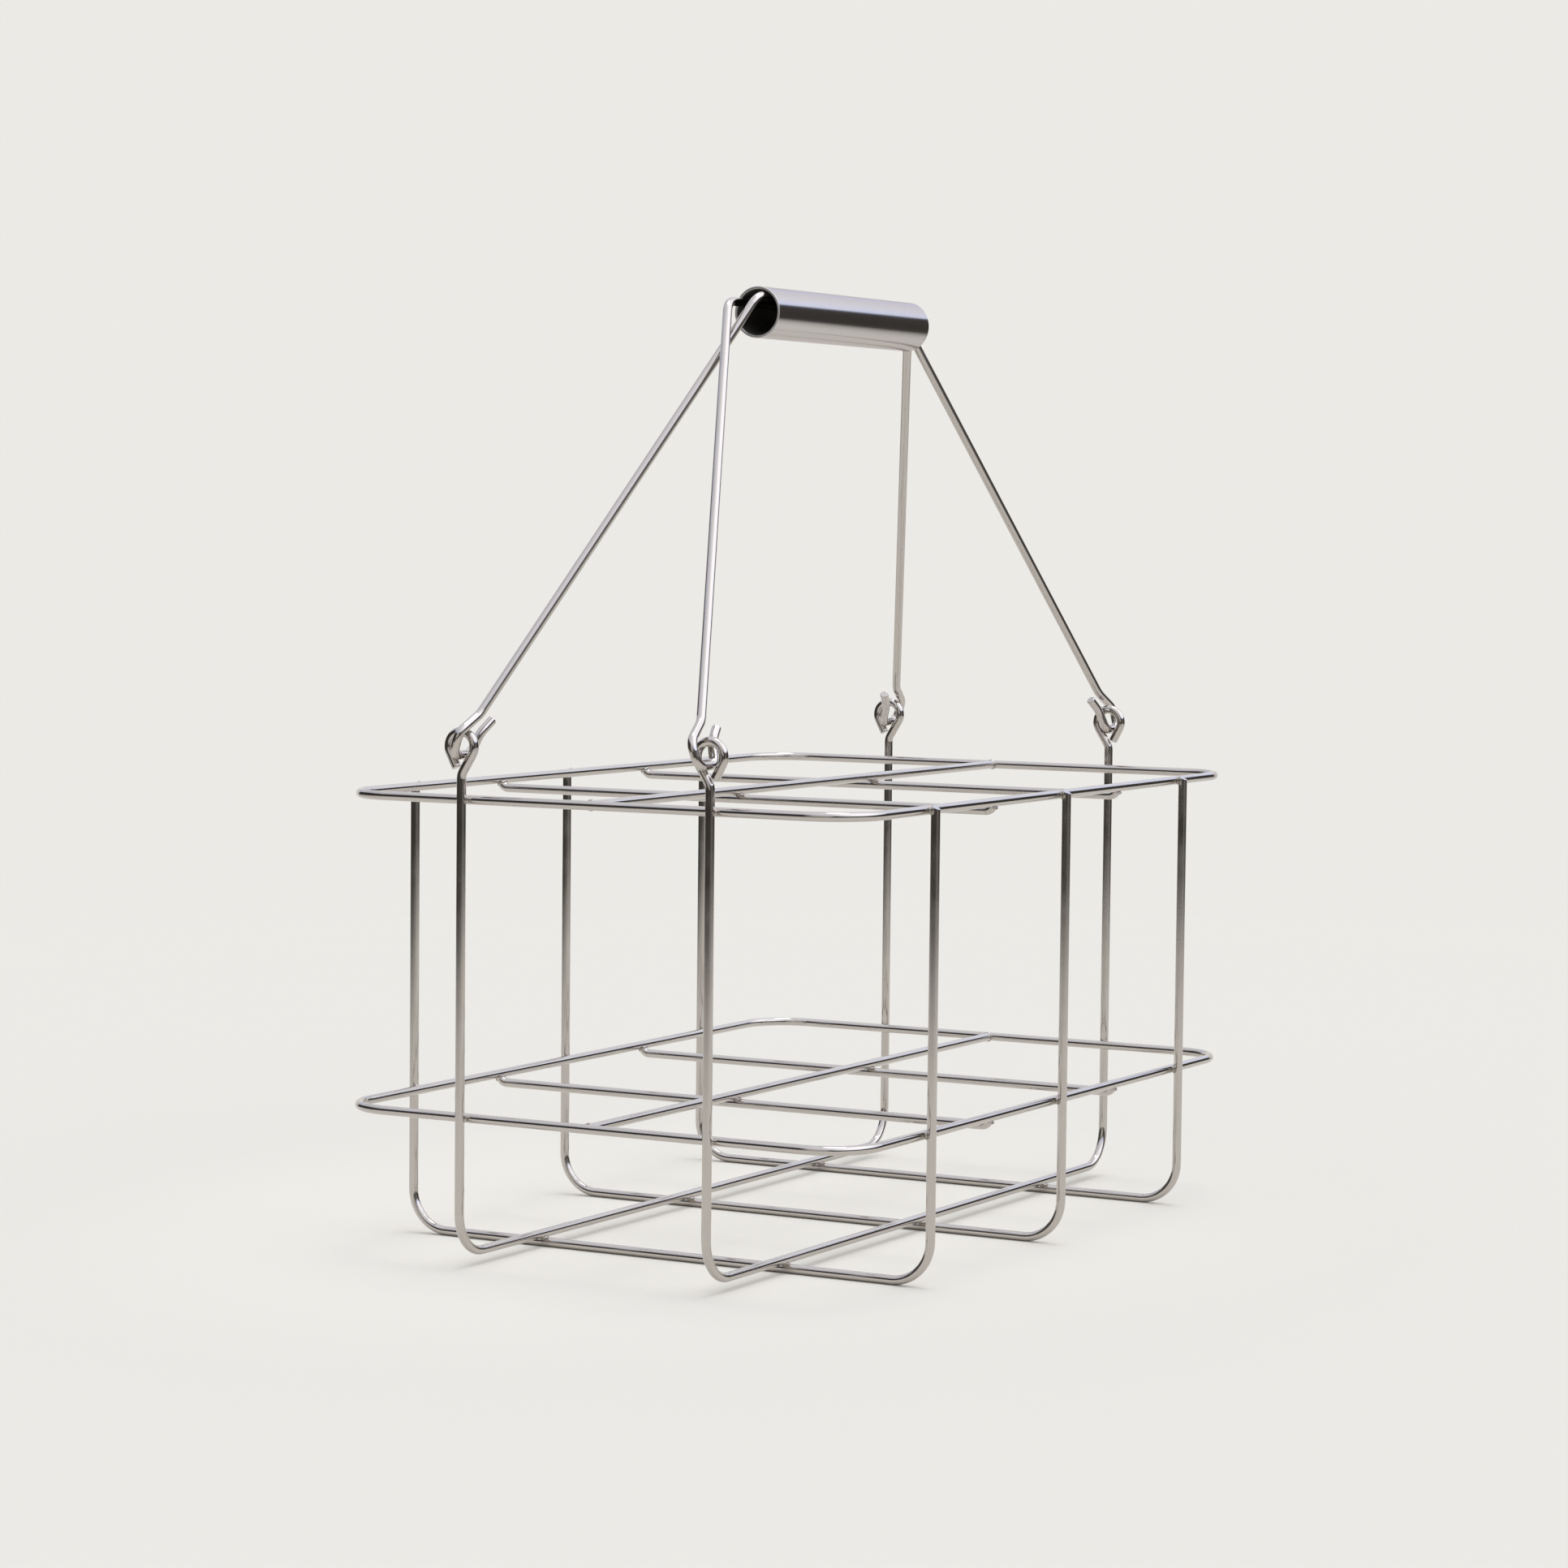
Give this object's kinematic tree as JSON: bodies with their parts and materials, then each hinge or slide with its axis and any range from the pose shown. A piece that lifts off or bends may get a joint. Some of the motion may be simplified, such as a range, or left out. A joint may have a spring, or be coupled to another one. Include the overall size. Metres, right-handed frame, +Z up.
{
  "type": "bottle caddy",
  "caption": "Wire caddy for standing bottles, with divided square cells, an open wire floor and a tubular grip carried by two hooked wire bails that lean together.",
  "frame": {"origin": "on the floor, at the crossing of the basket's middle planes", "axes": "+X across the basket to the right, +Y along the basket to the back, +Z up; the front short side faces -Y"},
  "size_m": [0.2092, 0.3258, 0.3341],
  "materials": {
    "basket_wire": "bright polished round steel wire",
    "bail_wire": "bright polished round steel wire",
    "grip_tube": "satin polished thin steel tube"
  },
  "bodies": {
    "caddy": {"top_ring": "basket_wire", "lower_ring": "basket_wire", "top_long_divider": "basket_wire", "lower_long_divider": "basket_wire", "top_cross_divider_front": "basket_wire", "top_cross_divider_back": "basket_wire", "lower_cross_divider_front": "basket_wire", "lower_cross_divider_back": "basket_wire", "cross_wire_front": "basket_wire", "cross_wire_middle": "basket_wire", "cross_wire_back": "basket_wire", "eye_wire_left": "basket_wire", "eye_wire_right": "basket_wire"},
    "left_bail": {"bail_left": "bail_wire"},
    "right_bail": {"bail_right": "bail_wire"},
    "grip": {"grip_tube": "grip_tube"}
  },
  "joints": [
    {"name": "left_bail_sway", "type": "hinge", "parent": "caddy", "child": "left_bail", "pos_m": [-0.0482, 0, 0.17367], "axis": [0, 1, 0], "range_deg": [-2.4, 0]},
    {"name": "right_bail_sway", "type": "hinge", "parent": "caddy", "child": "right_bail", "pos_m": [0.0482, 0, 0.17367], "axis": [0, 1, 0], "range_deg": [-2.4, 0]},
    {"name": "grip_spin", "type": "hinge", "parent": "left_bail", "child": "grip", "pos_m": [0.0071, 0.003, 0.3251], "axis": [0, 1, 0], "continuous": true}
  ],
  "couplings": [
    {"joint": "right_bail_sway", "follows": "left_bail_sway", "ratio": 1}
  ]
}
